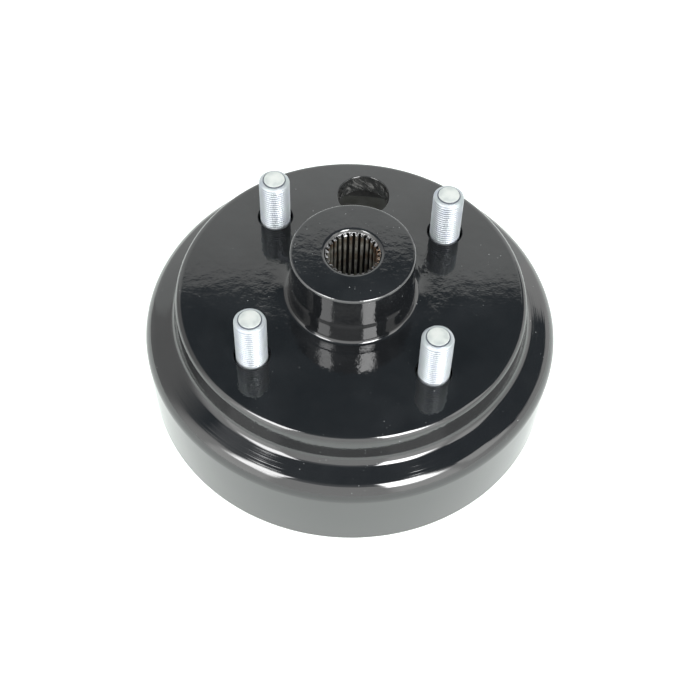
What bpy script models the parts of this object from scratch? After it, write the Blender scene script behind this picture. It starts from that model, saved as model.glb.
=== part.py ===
"""Rear brake drum with a splined hub and four pressed-in wheel studs, for a golf cart axle.

Metres, +Z up along the axle, towards the wheel. The drum stands on its open rim at Z = 0, and the
access hole in the wheel flange lies towards +Y, midway between two studs.
"""

import math

import bmesh
import bpy
from mathutils import Matrix

MM = 0.001

# Driving sizes, in millimetres. Heights are measured up from the open rim.
FLANGE_FACE = 54.0
HUB_HEIGHT = 25.0
FLANGE_THICKNESS = 9.0
FLANGE_RADIUS = 71.6
FLANGE_DRAFT = 1.1
FLANGE_EDGE = 2.8
LEDGE_FILLET = 4.5
SHOULDER_EDGE = 7.6
WALL_RADIUS = 85.7
WALL_DRAFT = 1.2
TRACK_RADIUS = 80.0
TRACK_LEAD_IN = 0.8
SHOULDER_THICKNESS = 6.5
INSIDE_FILLET = 3.0
RIM_EDGE = 0.6
LEDGE_DROP = 12.9
LEDGE_SLOPE = math.radians(23)

HUB_RADIUS = 25.0
HUB_TURNED_LENGTH = 14.5
HUB_STEP = 0.5
HUB_STEP_REACH = 3.0
HUB_BASE_RADIUS = 26.2
HUB_EDGE = 1.2
HUB_FILLET = 1.8
BOSS_RADIUS = 24.5
BOSS_DRAFT = 1.0
BOSS_END = 28.0
BOSS_EDGE = 1.0
BOSS_FILLET = 3.5

SPLINE_TEETH = 27
SPLINE_TIP_RADIUS = 9.6
SPLINE_ROOT_RADIUS = 10.8
GROOVE_MOUTH_SHARE = 0.30
GROOVE_ROOT_SHARE = 0.17
BORE_MOUTH_RADIUS = 12.0
BOSS_MOUTH_RADIUS = 11.6

STUD_COUNT = 4
STUD_CIRCLE_RADIUS = 50.8
STUD_HOLE_RADIUS = 7.25
STUD_GAP = 0.3
THREAD_RADIUS = 6.35
SERRATION_LENGTH = 7.4
STUD_STANDOUT = 23.3
STUD_HEAD_RADIUS = 9.5
STUD_HEAD_HEIGHT = 4.0
STUD_HEAD_EDGE = 0.8
STUD_SEAT_EDGE = 0.4
STUD_POINT_RADIUS = 4.3
STUD_POINT_LENGTH = 0.6
STUD_POINT_EDGE = 0.2
STUD_TIP_LAND = 0.5

ACCESS_HOLE_RADIUS = 11.0
ACCESS_HOLE_DISTANCE = 52.0

CASTING_STEPS = 72
STUD_STEPS = 28
HOLE_STEPS = 32
ARC_STEP = math.radians(30)
SHARP_ANGLE = math.radians(35)
MERGE = 1e-6
CUT_MARGIN = 5.0

BLACK_PAINT = (0.012, 0.013, 0.015)
ZINC = (0.72, 0.74, 0.78)


def rounded_corner(before, corner, after, radius):
    """The points of the arc that rounds a corner between two straight lines."""
    incoming = math.atan2(corner[1] - before[1], corner[0] - before[0])
    outgoing = math.atan2(after[1] - corner[1], after[0] - corner[0])
    turn = (outgoing - incoming + math.pi) % (2 * math.pi) - math.pi
    setback = radius * math.tan(abs(turn) / 2)
    side = math.copysign(1, turn)
    start_x = corner[0] - setback * math.cos(incoming)
    start_z = corner[1] - setback * math.sin(incoming)
    centre_x = start_x - side * radius * math.sin(incoming)
    centre_z = start_z + side * radius * math.cos(incoming)
    pieces = max(1, math.ceil(abs(turn) / ARC_STEP))
    points = []
    for index in range(pieces + 1):
        heading = incoming + turn * index / pieces
        x = centre_x + side * radius * math.sin(heading)
        z = centre_z - side * radius * math.cos(heading)
        points.append((x, z))
    return points


def rounded_outline(corners):
    """A closed outline from (radius, height, corner rounding) entries."""
    points = []
    for index, (x, z, rounding) in enumerate(corners):
        if rounding:
            before = corners[index - 1]
            after = corners[(index + 1) % len(corners)]
            points.extend(rounded_corner(before, (x, z), after, rounding))
        else:
            points.append((x, z))
    return points


def turned_mesh(name, outline, steps):
    """A closed solid of revolution about Z. The outline runs down its outer side."""
    shape = bmesh.new()
    corners = [shape.verts.new((x * MM, 0, z * MM)) for x, z in outline]
    edges = [shape.edges.new(pair) for pair in zip(corners, corners[1:] + corners[:1])]
    bmesh.ops.spin(
        shape,
        geom=corners + edges,
        cent=(0, 0, 0),
        axis=(0, 0, 1),
        angle=2 * math.pi,
        steps=steps,
        use_merge=True,
    )
    bmesh.ops.remove_doubles(shape, verts=shape.verts, dist=MERGE)
    flat = [face for face in shape.faces if face.calc_area() < MERGE * MERGE]
    bmesh.ops.delete(shape, geom=flat, context="FACES")
    bmesh.ops.recalc_face_normals(shape, faces=shape.faces)
    mesh = bpy.data.meshes.new(name)
    shape.to_mesh(mesh)
    shape.free()
    mesh.shade_smooth()
    mesh.set_sharp_from_angle(angle=SHARP_ANGLE)
    return mesh


def finish_material(name, colour, roughness, metallic, coat):
    """A plain Principled BSDF material."""
    material = bpy.data.materials.new(name)
    material.use_nodes = True
    shader = material.node_tree.nodes["Principled BSDF"]
    shader.inputs["Base Color"].default_value = (*colour, 1)
    shader.inputs["Roughness"].default_value = roughness
    shader.inputs["Metallic"].default_value = metallic
    shader.inputs["Coat Weight"].default_value = coat
    return material


def place(name, mesh, material=None, location=(0, 0, 0), turn=0.0):
    """Puts a mesh in the scene as an object, turned about Z."""
    item = bpy.data.objects.new(name, mesh)
    bpy.context.scene.collection.objects.link(item)
    item.location = [value * MM for value in location]
    item.rotation_euler = (0, 0, turn)
    if material:
        mesh.materials.clear()
        mesh.materials.append(material)
    return item


def cut(item, cutter):
    """Removes the cutter's volume from the item and keeps the cutter as a hidden wire shape."""
    cutter.hide_render = True
    cutter.display_type = "WIRE"
    step = item.modifiers.new(cutter.name, "BOOLEAN")
    step.operation = "DIFFERENCE"
    step.solver = "EXACT"
    step.object = cutter


def casting_outline():
    """Half section of the drum, flange and hub: over the hub, down the outside, up the inside."""
    slope = math.tan(LEDGE_SLOPE)
    hub_top = FLANGE_FACE + HUB_HEIGHT
    flange_back = FLANGE_FACE - FLANGE_THICKNESS
    flange_foot = FLANGE_RADIUS + FLANGE_DRAFT
    ledge_root = FLANGE_FACE - LEDGE_DROP
    shoulder = ledge_root - (WALL_RADIUS - flange_foot) * slope
    step_height = hub_top - HUB_TURNED_LENGTH
    # The inside of the shoulder runs parallel to the ledge, one wall thickness below it.
    ledge_inside = ledge_root - SHOULDER_THICKNESS / math.cos(LEDGE_SLOPE)
    inner_wall = flange_foot - SHOULDER_THICKNESS
    return rounded_outline([
        (BORE_MOUTH_RADIUS, hub_top, 0),
        (HUB_RADIUS, hub_top, HUB_EDGE),
        (HUB_RADIUS, step_height, 0),
        (HUB_RADIUS + HUB_STEP, step_height - HUB_STEP_REACH, 0),
        (HUB_BASE_RADIUS, FLANGE_FACE, HUB_FILLET),
        (FLANGE_RADIUS, FLANGE_FACE, FLANGE_EDGE),
        (flange_foot, ledge_root, LEDGE_FILLET),
        (WALL_RADIUS, shoulder, SHOULDER_EDGE),
        (WALL_RADIUS - WALL_DRAFT, 0, RIM_EDGE),
        (TRACK_RADIUS + TRACK_LEAD_IN, 0, 0),
        (TRACK_RADIUS, TRACK_LEAD_IN, 0),
        (TRACK_RADIUS, ledge_inside - (TRACK_RADIUS - flange_foot) * slope, INSIDE_FILLET),
        (inner_wall, ledge_inside + SHOULDER_THICKNESS * slope, INSIDE_FILLET),
        (inner_wall, flange_back, INSIDE_FILLET),
        (BOSS_RADIUS + BOSS_DRAFT, flange_back, BOSS_FILLET),
        (BOSS_RADIUS, BOSS_END, BOSS_EDGE),
        (BOSS_MOUTH_RADIUS, BOSS_END, 0),
        (SPLINE_TIP_RADIUS, BOSS_END + BOSS_MOUTH_RADIUS - SPLINE_TIP_RADIUS, 0),
        (SPLINE_TIP_RADIUS, hub_top - BORE_MOUTH_RADIUS + SPLINE_TIP_RADIUS, 0),
    ])


def round_cutter(name, radius, low, high, location=(0, 0)):
    """A cylinder along Z that cuts a round hole."""
    shape = bmesh.new()
    bmesh.ops.create_cone(
        shape,
        cap_ends=True,
        segments=HOLE_STEPS,
        radius1=radius * MM,
        radius2=radius * MM,
        depth=(high - low) * MM,
        matrix=Matrix.Translation((0, 0, (high + low) / 2 * MM)),
    )
    mesh = bpy.data.meshes.new(name)
    shape.to_mesh(mesh)
    shape.free()
    mesh.shade_smooth()
    mesh.set_sharp_from_angle(angle=SHARP_ANGLE)
    return place(name, mesh, location=(*location, 0))


def spline_cutter():
    """A star prism that cuts the grooves between the spline teeth."""
    # The star's core stays clear of the tooth tips, inside the bore.
    core = SPLINE_TIP_RADIUS - 1.0
    pitch = 2 * math.pi / SPLINE_TEETH
    low = BOSS_END - CUT_MARGIN
    high = FLANGE_FACE + HUB_HEIGHT + CUT_MARGIN
    corners = []
    for tooth in range(SPLINE_TEETH):
        middle = tooth * pitch
        corners.append((core, middle - GROOVE_MOUTH_SHARE * pitch))
        corners.append((SPLINE_ROOT_RADIUS, middle - GROOVE_ROOT_SHARE * pitch))
        corners.append((SPLINE_ROOT_RADIUS, middle + GROOVE_ROOT_SHARE * pitch))
        corners.append((core, middle + GROOVE_MOUTH_SHARE * pitch))
    shape = bmesh.new()
    ring = []
    for radius, angle in corners:
        x = radius * MM * math.cos(angle)
        y = radius * MM * math.sin(angle)
        ring.append(shape.verts.new((x, y, low * MM)))
    base = shape.faces.new(ring)
    raised = bmesh.ops.extrude_face_region(shape, geom=[base])
    tops = [part for part in raised["geom"] if isinstance(part, bmesh.types.BMVert)]
    bmesh.ops.translate(shape, verts=tops, vec=(0, 0, (high - low) * MM))
    bmesh.ops.recalc_face_normals(shape, faces=shape.faces)
    mesh = bpy.data.meshes.new("spline_grooves")
    shape.to_mesh(mesh)
    shape.free()
    return place("spline_grooves", mesh)


def stud_angles():
    """The studs' places on their circle, with the access hole at +Y between two of them."""
    pitch = 2 * math.pi / STUD_COUNT
    return [math.pi / STUD_COUNT + index * pitch for index in range(STUD_COUNT)]


def on_stud_circle(angle):
    """A place on the stud circle, in millimetres."""
    return (STUD_CIRCLE_RADIUS * math.cos(angle), STUD_CIRCLE_RADIUS * math.sin(angle))


def make_casting(paint):
    """The one-piece casting: brake drum, wheel flange and splined hub."""
    mesh = turned_mesh("brake_drum_hub", casting_outline(), CASTING_STEPS)
    casting = place("brake_drum_hub", mesh, paint)
    low = FLANGE_FACE - FLANGE_THICKNESS - CUT_MARGIN
    high = FLANGE_FACE + CUT_MARGIN
    cut(casting, spline_cutter())
    access = (0, ACCESS_HOLE_DISTANCE)
    cut(casting, round_cutter("access_hole", ACCESS_HOLE_RADIUS, low, high, access))
    for number, angle in enumerate(stud_angles(), 1):
        name = f"stud_hole_{number}"
        cut(casting, round_cutter(name, STUD_HOLE_RADIUS, low, high, on_stud_circle(angle)))
    return casting


def stud_outline():
    """Half section of a wheel stud. Height 0 is the seat of its head, under the flange."""
    serration_radius = STUD_HOLE_RADIUS - STUD_GAP
    tip = FLANGE_THICKNESS + STUD_STANDOUT + STUD_GAP
    thread_end = tip - STUD_POINT_LENGTH
    thread_chamfer = THREAD_RADIUS - STUD_POINT_RADIUS - STUD_TIP_LAND
    lead_in = serration_radius - THREAD_RADIUS
    return [
        (0, tip),
        (STUD_POINT_RADIUS - STUD_POINT_EDGE, tip),
        (STUD_POINT_RADIUS, tip - STUD_POINT_EDGE),
        (STUD_POINT_RADIUS, thread_end),
        (THREAD_RADIUS - thread_chamfer, thread_end),
        (THREAD_RADIUS - thread_chamfer / 3, thread_end - thread_chamfer / 3),
        (THREAD_RADIUS, thread_end - thread_chamfer),
        (THREAD_RADIUS, SERRATION_LENGTH),
        (serration_radius, SERRATION_LENGTH - lead_in),
        (serration_radius, 0),
        (STUD_HEAD_RADIUS - STUD_SEAT_EDGE, 0),
        (STUD_HEAD_RADIUS, -STUD_SEAT_EDGE),
        (STUD_HEAD_RADIUS, STUD_HEAD_EDGE - STUD_HEAD_HEIGHT),
        (STUD_HEAD_RADIUS - STUD_HEAD_EDGE, -STUD_HEAD_HEIGHT),
        (0, -STUD_HEAD_HEIGHT),
    ]


def make_studs(zinc):
    """Four wheel studs, pressed into the flange from behind, with their threads out."""
    mesh = turned_mesh("wheel_stud", stud_outline(), STUD_STEPS)
    seat = FLANGE_FACE - FLANGE_THICKNESS - STUD_GAP
    for number, angle in enumerate(stud_angles(), 1):
        location = (*on_stud_circle(angle), seat)
        place(f"wheel_stud_{number}", mesh, zinc, location, turn=angle)


def main():
    for item in list(bpy.data.objects):
        bpy.data.objects.remove(item)
    paint = finish_material("gloss_black_paint", BLACK_PAINT, 0.12, 0.0, 1.0)
    zinc = finish_material("bright_zinc", ZINC, 0.3, 1.0, 0.0)
    make_casting(paint)
    make_studs(zinc)


main()
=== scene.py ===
import math

import bmesh
import bpy
from mathutils import Matrix, Vector


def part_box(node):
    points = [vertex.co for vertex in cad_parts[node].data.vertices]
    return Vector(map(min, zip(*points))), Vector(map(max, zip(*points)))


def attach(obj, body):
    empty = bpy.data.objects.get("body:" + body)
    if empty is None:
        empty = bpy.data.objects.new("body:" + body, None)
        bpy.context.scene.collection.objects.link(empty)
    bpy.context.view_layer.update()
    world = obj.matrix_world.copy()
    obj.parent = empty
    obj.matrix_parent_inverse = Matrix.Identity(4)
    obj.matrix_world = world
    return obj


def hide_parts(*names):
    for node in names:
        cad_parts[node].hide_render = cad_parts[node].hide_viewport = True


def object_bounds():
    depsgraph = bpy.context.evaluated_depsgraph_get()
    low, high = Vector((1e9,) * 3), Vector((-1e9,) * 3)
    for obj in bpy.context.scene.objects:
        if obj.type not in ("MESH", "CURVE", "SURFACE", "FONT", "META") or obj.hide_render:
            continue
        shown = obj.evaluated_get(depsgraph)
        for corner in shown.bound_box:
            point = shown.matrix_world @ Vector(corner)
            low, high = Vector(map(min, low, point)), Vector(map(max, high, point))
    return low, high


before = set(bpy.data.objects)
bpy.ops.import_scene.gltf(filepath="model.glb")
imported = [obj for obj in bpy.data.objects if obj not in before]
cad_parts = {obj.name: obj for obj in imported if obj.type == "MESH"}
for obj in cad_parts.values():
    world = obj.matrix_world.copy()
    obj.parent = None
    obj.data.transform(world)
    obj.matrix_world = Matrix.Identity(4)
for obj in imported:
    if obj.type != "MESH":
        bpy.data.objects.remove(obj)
cad_low, cad_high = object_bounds()

MM = 0.001
TAU = 2 * math.pi

# The casting's sizes, in millimetres, as in the CAD. Heights are measured up from the open rim.
FLANGE_FACE = 54.0
FLANGE_THICKNESS = 9.0
HUB_HEIGHT = 25.0
FLANGE_RADIUS = 71.6
FLANGE_DRAFT = 1.1
FLANGE_EDGE = 2.8
LEDGE_FILLET = 4.5
SHOULDER_EDGE = 7.6
WALL_RADIUS = 85.7
WALL_DRAFT = 1.2
TRACK_RADIUS = 80.0
TRACK_LEAD_IN = 0.8
SHOULDER_THICKNESS = 6.5
INSIDE_FILLET = 3.0
RIM_EDGE = 0.6
LEDGE_DROP = 12.9
LEDGE_SLOPE = math.radians(23)
HUB_RADIUS = 25.0
HUB_TURNED_LENGTH = 14.5
HUB_STEP = 0.5
HUB_STEP_REACH = 3.0
HUB_BASE_RADIUS = 26.2
HUB_EDGE = 1.2
HUB_FILLET = 1.8
BOSS_RADIUS = 24.5
BOSS_DRAFT = 1.0
BOSS_END = 28.0
BOSS_EDGE = 1.0
BOSS_FILLET = 3.5
ACCESS_HOLE_RADIUS = 11.0
ACCESS_HOLE_DISTANCE = 52.0

SPLINE_TEETH = 27
SPLINE_TIP_RADIUS = 9.6
SPLINE_ROOT_RADIUS = 10.8
BORE_MOUTH_RADIUS = 11.8
BORE_MOUTH_EDGE = 1.5
BORE_LIP_DEPTH = 1.1
TOOTH_END_DEPTH = 0.8
BOSS_MOUTH_RADIUS = 11.6

# Half of one spline groove in plan: radius, and half width as a share of the tooth pitch.
GROOVE_FORM = [
    (SPLINE_TIP_RADIUS - 0.9, 0.360), (SPLINE_TIP_RADIUS, 0.290), (10.0, 0.250),
    (10.4, 0.208), (10.68, 0.165), (SPLINE_ROOT_RADIUS, 0.090),
]

# A low turned ring in the paint round the foot of the hub.
RING_RADIUS = 31.4
RING_HALF_WIDTH = 3.4
RING_HEIGHT = 0.03
RING_PIECES = 12
HUB_STEP_PIECES = 10

# Small machined edges.
TRACK_EDGE = 0.15
TOOTH_EDGE = 0.3
LIP_EDGE = 0.2
LIP_OVERLAP = 0.1
HOLE_FLARE = 0.45
HOLE_FLARE_PIECES = 5
# A hole's rounded mouth meets the flange at this small angle.
FLARE_START = math.radians(15)
HOLE_CUT_MARGIN = 4.0
SPLINE_CUT_MARGIN = 5.0

# The studs, in millimetres, with heights measured up from the seat of the head.
STUD_HOLE_RADIUS = 7.25
THREAD_RADIUS = 6.35
THREAD_PITCH = 1.27
THREAD_DEPTH = 0.70
THREAD_RUN_OUT = 1.6 * THREAD_PITCH
CHAMFER_CURVE = 2.6
PLAIN_SHANK_LENGTH = 0.4
SERRATION_RADIUS = 6.95
SERRATION_DEPTH = 0.30
SERRATIONS = 32
SERRATION_LENGTH = 7.4
SERRATION_START = 0.3
STUD_HEAD_RADIUS = 9.5
STUD_HEAD_HEIGHT = 4.0
STUD_HEAD_EDGE = 0.8
STUD_HEAD_EDGE_PIECES = 5
STUD_HEAD_DISH = 0.35
STUD_HEAD_DISH_SHARES = (0.45, 0.55)
STUD_SEAT_EDGE = 0.4
STUD_POINT_RADIUS = 4.3
STUD_POINT_LENGTH = 0.6
STUD_POINT_EDGE = 0.22
STUD_POINT_CORNER = 0.07
STUD_POINT_GROOVE = [(0.15, -0.12), (0.0, -0.08)]
STUD_END_MARGIN = 0.3
STUD_TIP_RADIUS = 4.8
# Each stud is pressed in at its own turn.
STUD_TURN = math.radians(37)

TURN_STEPS = 288
HOLE_STEPS = 72
FINE_ARC = math.radians(7)
STUD_STEPS = 96
SHARP_ANGLE = math.radians(38)
STUD_SHARP_ANGLE = math.radians(32)
FLAT_FACE_WEIGHT = 60
MERGE = 1e-6

# Where the casting's finishes end: margins round the machined surfaces, in millimetres.
BORE_MARGIN = 0.3
HOLE_MARGIN = 0.1
BOSS_END_MARGIN = 0.1
RIM_MARGIN = 1.5
RIM_HEIGHT = 1.0
TRACK_MARGIN = 0.5
FLANGE_BACK_MARGIN = 0.5
# How a face leans, as the height of its normal.
LOOKS_UP = 0.3
LOOKS_SIDEWAYS = 0.5
LOOKS_DOWN = -0.1
LOOKS_STRAIGHT_DOWN = -0.9

# The camera, as the photograph was taken. Aims and distance are in millimetres from the
# middle of the flange's face.
CAMERA_TURN = math.radians(3.91)
CAMERA_HEIGHT_ANGLE = math.radians(54.575)
CAMERA_ROLL = math.radians(2.105)
CAMERA_DISTANCE = 560.8
CAMERA_AIM_RIGHT = -0.65
CAMERA_AIM_UP = -24.12
CAMERA_LENS = 70.79


# ---------------------------------------------------------------- turned shapes

def rounded_corner(before, corner, after, radius):
    """The points of the arc that rounds a corner between two straight lines."""
    incoming = math.atan2(corner[1] - before[1], corner[0] - before[0])
    outgoing = math.atan2(after[1] - corner[1], after[0] - corner[0])
    turn = (outgoing - incoming + math.pi) % TAU - math.pi
    setback = radius * math.tan(abs(turn) / 2)
    side = math.copysign(1, turn)
    start_x = corner[0] - setback * math.cos(incoming)
    start_z = corner[1] - setback * math.sin(incoming)
    centre_x = start_x - side * radius * math.sin(incoming)
    centre_z = start_z + side * radius * math.cos(incoming)
    pieces = max(3, math.ceil(abs(turn) / FINE_ARC))
    points = []
    for index in range(pieces + 1):
        heading = incoming + turn * index / pieces
        x = centre_x + side * radius * math.sin(heading)
        z = centre_z - side * radius * math.cos(heading)
        points.append((x, z))
    return points


def rounded_outline(corners):
    """A closed outline from (radius, height, corner rounding) entries."""
    points = []
    for index, (x, z, rounding) in enumerate(corners):
        if rounding:
            before = corners[index - 1]
            after = corners[(index + 1) % len(corners)]
            points.extend(rounded_corner(before, (x, z), after, rounding))
        else:
            points.append((x, z))
    return points


def turned_mesh(name, outline, steps):
    """A closed solid of revolution about Z, from an outline in millimetres."""
    vertices = []
    for x, z in outline:
        for step in range(steps):
            angle = TAU * step / steps
            vertices.append((x * MM * math.cos(angle), x * MM * math.sin(angle), z * MM))
    faces = []
    for row in range(len(outline)):
        below = (row + 1) % len(outline)
        for step in range(steps):
            after = (step + 1) % steps
            faces.append((row * steps + step, row * steps + after,
                          below * steps + after, below * steps + step))
    return closed_mesh(name, vertices, faces)


def closed_mesh(name, vertices, faces, merge=MERGE):
    """A clean mesh with its doubled points merged and its faces turned outwards."""
    shape = bmesh.new()
    made = [shape.verts.new(point) for point in vertices]
    for face in faces:
        shape.faces.new([made[index] for index in face])
    bmesh.ops.remove_doubles(shape, verts=shape.verts, dist=merge)
    bmesh.ops.dissolve_degenerate(shape, edges=shape.edges, dist=MERGE)
    bmesh.ops.recalc_face_normals(shape, faces=shape.faces)
    mesh = bpy.data.meshes.new(name)
    shape.to_mesh(mesh)
    shape.free()
    return mesh


def place(name, mesh, location=(0, 0, 0), turn=0.0):
    """Puts a mesh in the scene as an object, turned about Z."""
    item = bpy.data.objects.new(name, mesh)
    bpy.context.scene.collection.objects.link(item)
    item.location = location
    item.rotation_euler = (0, 0, turn)
    return item


# ---------------------------------------------------------------- the casting

def ring_points():
    """The flange's turned ring, from the hub outwards, as outline entries."""
    points = []
    for index in range(RING_PIECES + 1):
        share = index / RING_PIECES
        radius = RING_RADIUS + RING_HALF_WIDTH * (2 * share - 1)
        rise = RING_HEIGHT * (1 - math.cos(TAU * share)) / 2
        points.append((radius, FLANGE_FACE + rise, 0))
    return points


def hub_step_points(step_height):
    """The soft step down the hub's side, from the turned length to the cast length."""
    points = []
    for index in range(HUB_STEP_PIECES + 1):
        share = index / HUB_STEP_PIECES
        radius = HUB_RADIUS + HUB_STEP * (1 - math.cos(math.pi * share)) / 2
        points.append((radius, step_height - HUB_STEP_REACH * share, 0))
    return points


def casting_outline():
    """Half section of the drum: over the hub, down the outside, and up the inside."""
    slope = math.tan(LEDGE_SLOPE)
    hub_top = FLANGE_FACE + HUB_HEIGHT
    flange_back = FLANGE_FACE - FLANGE_THICKNESS
    flange_foot = FLANGE_RADIUS + FLANGE_DRAFT
    ledge_root = FLANGE_FACE - LEDGE_DROP
    shoulder = ledge_root - (WALL_RADIUS - flange_foot) * slope
    step_height = hub_top - HUB_TURNED_LENGTH
    ledge_inside = ledge_root - SHOULDER_THICKNESS / math.cos(LEDGE_SLOPE)
    inner_wall = flange_foot - SHOULDER_THICKNESS
    tooth_top = hub_top - BORE_LIP_DEPTH - TOOTH_END_DEPTH
    tooth_foot = BOSS_END + BOSS_MOUTH_RADIUS - SPLINE_TIP_RADIUS
    return rounded_outline([
        (BORE_MOUTH_RADIUS, hub_top, BORE_MOUTH_EDGE),
        (HUB_RADIUS, hub_top, HUB_EDGE),
        *hub_step_points(step_height),
        (HUB_BASE_RADIUS, FLANGE_FACE, HUB_FILLET),
        *ring_points(),
        (FLANGE_RADIUS, FLANGE_FACE, FLANGE_EDGE),
        (flange_foot, ledge_root, LEDGE_FILLET),
        (WALL_RADIUS, shoulder, SHOULDER_EDGE),
        (WALL_RADIUS - WALL_DRAFT, 0, RIM_EDGE),
        (TRACK_RADIUS + TRACK_LEAD_IN, 0, TRACK_EDGE),
        (TRACK_RADIUS, TRACK_LEAD_IN, TRACK_EDGE),
        (TRACK_RADIUS, ledge_inside - (TRACK_RADIUS - flange_foot) * slope, INSIDE_FILLET),
        (inner_wall, ledge_inside + SHOULDER_THICKNESS * slope, INSIDE_FILLET),
        (inner_wall, flange_back, INSIDE_FILLET),
        (BOSS_RADIUS + BOSS_DRAFT, flange_back, BOSS_FILLET),
        (BOSS_RADIUS, BOSS_END, BOSS_EDGE),
        (BOSS_MOUTH_RADIUS, BOSS_END, 0),
        (SPLINE_TIP_RADIUS, tooth_foot, 0),
        (SPLINE_TIP_RADIUS, tooth_top, TOOTH_EDGE),
        (SPLINE_ROOT_RADIUS + LIP_OVERLAP, hub_top - BORE_LIP_DEPTH, LIP_EDGE),
    ])


def flared_cutter(name, radius, centre):
    """A round cutter through the flange that leaves a rounded edge at both mouths."""
    low = FLANGE_FACE - FLANGE_THICKNESS
    arc = []
    for index in range(HOLE_FLARE_PIECES + 1):
        angle = FLARE_START + (math.pi / 2 - FLARE_START) * index / HOLE_FLARE_PIECES
        arc.append((radius + HOLE_FLARE * (1 - math.sin(angle)),
                    HOLE_FLARE * (1 - math.cos(angle))))
    mouth = arc[0][0] + math.cos(FLARE_START)
    lift = math.sin(FLARE_START) - arc[0][1]
    top = FLANGE_FACE + HOLE_CUT_MARGIN
    bottom = low - HOLE_CUT_MARGIN
    outline = [(0, top), (mouth, top), (mouth, FLANGE_FACE + lift)]
    outline += [(x, FLANGE_FACE - depth) for x, depth in arc]
    outline += [(x, low + depth) for x, depth in reversed(arc)]
    outline += [(mouth, low - lift), (mouth, bottom), (0, bottom)]
    mesh = turned_mesh(name, outline, HOLE_STEPS)
    return place(name, mesh, (centre[0], centre[1], 0))


def groove_outline(middle):
    """One spline groove in plan, as (radius, angle), with curved flanks and a rounded root."""
    pitch = TAU / SPLINE_TEETH
    first = [(radius, middle - share * pitch) for radius, share in GROOVE_FORM]
    second = [(radius, middle + share * pitch) for radius, share in reversed(GROOVE_FORM)]
    return first + second


def spline_cutter():
    """A star prism that cuts the grooves between the spline teeth."""
    low = BOSS_END - SPLINE_CUT_MARGIN
    high = FLANGE_FACE + HUB_HEIGHT + SPLINE_CUT_MARGIN
    ring = []
    for tooth in range(SPLINE_TEETH):
        ring.extend(groove_outline(tooth * TAU / SPLINE_TEETH))
    plan = [(radius * MM * math.cos(angle), radius * MM * math.sin(angle))
            for radius, angle in ring]
    count = len(plan)
    vertices = [(x, y, low * MM) for x, y in plan] + [(x, y, high * MM) for x, y in plan]
    faces = [tuple(range(count)), tuple(range(count, 2 * count))]
    for index in range(count):
        after = (index + 1) % count
        faces.append((index, after, count + after, count + index))
    return place("spline_grooves", closed_mesh("spline_grooves", vertices, faces))


def cut_all(item, cutters):
    """Removes every cutter's volume from the item and throws the cutters away."""
    for cutter in cutters:
        step = item.modifiers.new(cutter.name, "BOOLEAN")
        step.operation = "DIFFERENCE"
        step.solver = "EXACT"
        step.object = cutter
    bpy.context.view_layer.update()
    graph = bpy.context.evaluated_depsgraph_get()
    finished = bpy.data.meshes.new_from_object(item.evaluated_get(graph))
    item.modifiers.clear()
    item.data = finished
    for cutter in cutters:
        bpy.data.objects.remove(cutter)


def smooth_shading(item):
    """Smooth shading with sharp edges kept, and flat faces kept flat."""
    item.data.shade_smooth()
    item.data.set_sharp_from_angle(angle=SHARP_ANGLE)
    weights = item.modifiers.new("weighted_normals", "WEIGHTED_NORMAL")
    weights.mode = "FACE_AREA"
    weights.weight = FLAT_FACE_WEIGHT
    weights.keep_sharp = True


def stud_centres():
    """Where each CAD stud stands, by node name."""
    centres = {}
    for name in sorted(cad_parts):
        if name.startswith("wheel_stud"):
            low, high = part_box(name)
            centres[name] = (low + high) / 2
    return centres


def bore_finish(face, depth):
    """The finish in the splined bore: worn tooth ends at the top, bare teeth below."""
    near_top = depth < BORE_LIP_DEPTH + TOOTH_END_DEPTH + BORE_MARGIN
    return "lip" if near_top and face.normal.z > LOOKS_UP else "teeth"


def casting_finish(face):
    """Which finish a face of the casting has, by its place and direction."""
    centre = face.center
    normal = face.normal
    radius = math.hypot(centre.x, centre.y) / MM
    height = centre.z / MM
    depth = FLANGE_FACE + HUB_HEIGHT - height
    if radius < SPLINE_ROOT_RADIUS + BORE_MARGIN and depth > BORE_LIP_DEPTH:
        return bore_finish(face, depth)
    to_hole = math.hypot(centre.x / MM, centre.y / MM - ACCESS_HOLE_DISTANCE)
    if to_hole < ACCESS_HOLE_RADIUS + HOLE_MARGIN and abs(normal.z) < LOOKS_SIDEWAYS:
        return "hole"
    if radius < BOSS_RADIUS and height < BOSS_END + BOSS_END_MARGIN:
        return "iron"
    on_rim = radius > TRACK_RADIUS - RIM_MARGIN and height < RIM_HEIGHT
    if on_rim and normal.z < LOOKS_STRAIGHT_DOWN:
        return "iron"
    inward = normal.x * centre.x + normal.y * centre.y < 0
    if inward and radius > TRACK_RADIUS - TRACK_MARGIN:
        return "iron"
    flange_back = FLANGE_FACE - FLANGE_THICKNESS
    if inward and radius > HUB_BASE_RADIUS and height < flange_back:
        return "inside"
    # The outer wall's draft tips it down a little, and it is painted all the same.
    if normal.z < LOOKS_DOWN and height < flange_back + FLANGE_BACK_MARGIN:
        return "inside"
    return "paint"


def make_casting(finishes):
    """The one-piece casting, with its holes, spline and machined surfaces."""
    item = place("casting_painted", turned_mesh("casting", casting_outline(), TURN_STEPS))
    access = (0, ACCESS_HOLE_DISTANCE * MM)
    cutters = [spline_cutter(), flared_cutter("access_hole", ACCESS_HOLE_RADIUS, access)]
    for name, centre in stud_centres().items():
        cutters.append(flared_cutter("hole_" + name, STUD_HOLE_RADIUS, centre))
    cut_all(item, cutters)
    order = list(finishes)
    item.data.materials.clear()
    for key in order:
        item.data.materials.append(finishes[key])
    for face in item.data.polygons:
        face.material_index = order.index(casting_finish(face))
    smooth_shading(item)
    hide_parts("brake_drum_hub")
    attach(item, "root")


# ---------------------------------------------------------------- the studs

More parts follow.
